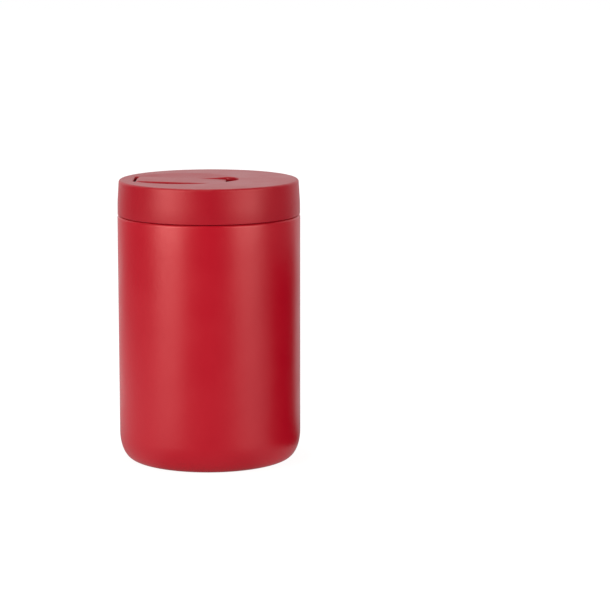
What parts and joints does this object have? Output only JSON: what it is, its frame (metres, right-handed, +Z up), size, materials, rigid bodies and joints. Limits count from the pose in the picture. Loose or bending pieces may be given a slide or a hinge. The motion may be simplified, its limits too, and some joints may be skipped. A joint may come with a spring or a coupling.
{
  "type": "yerba mate dispenser",
  "caption": "Round red canister for loose yerba mate, with a lift-off lid whose flush trough spout swings up on a pin for pouring.",
  "frame": {"origin": "centre of the standing ring under the canister, on the surface it stands on", "axes": "+Z up along the canister's axis; X along the spout's slot, with the hinge at -X and the finger hole at +X; -Y is the front as pictured"},
  "size_m": [0.11, 0.11, 0.1696],
  "materials": {
    "body_paint": "satin red paint",
    "lid_plastic": "satin moulded red",
    "plug_plastic": "matte moulded red",
    "seal_silicone": "translucent white silicone",
    "spout_plastic": "satin moulded red",
    "pin_steel": "drawn wire"
  },
  "bodies": {
    "canister": {"canister_body": "body_paint"},
    "lid": {"lid_cap": "lid_plastic", "lid_plug": "plug_plastic", "lid_gasket": "seal_silicone", "hinge_pin": "pin_steel"},
    "pour_spout": {"spout": "spout_plastic"}
  },
  "joints": [
    {"name": "lid_lift", "type": "slide", "parent": "canister", "child": "lid", "axis": [0, 0, 1], "range_m": [0, 0.06]},
    {"name": "spout_swing", "type": "hinge", "parent": "lid", "child": "pour_spout", "pos_m": [-0.04137, 0, 0.1665], "axis": [0, -1, 0], "range_deg": [0, 89]}
  ]
}
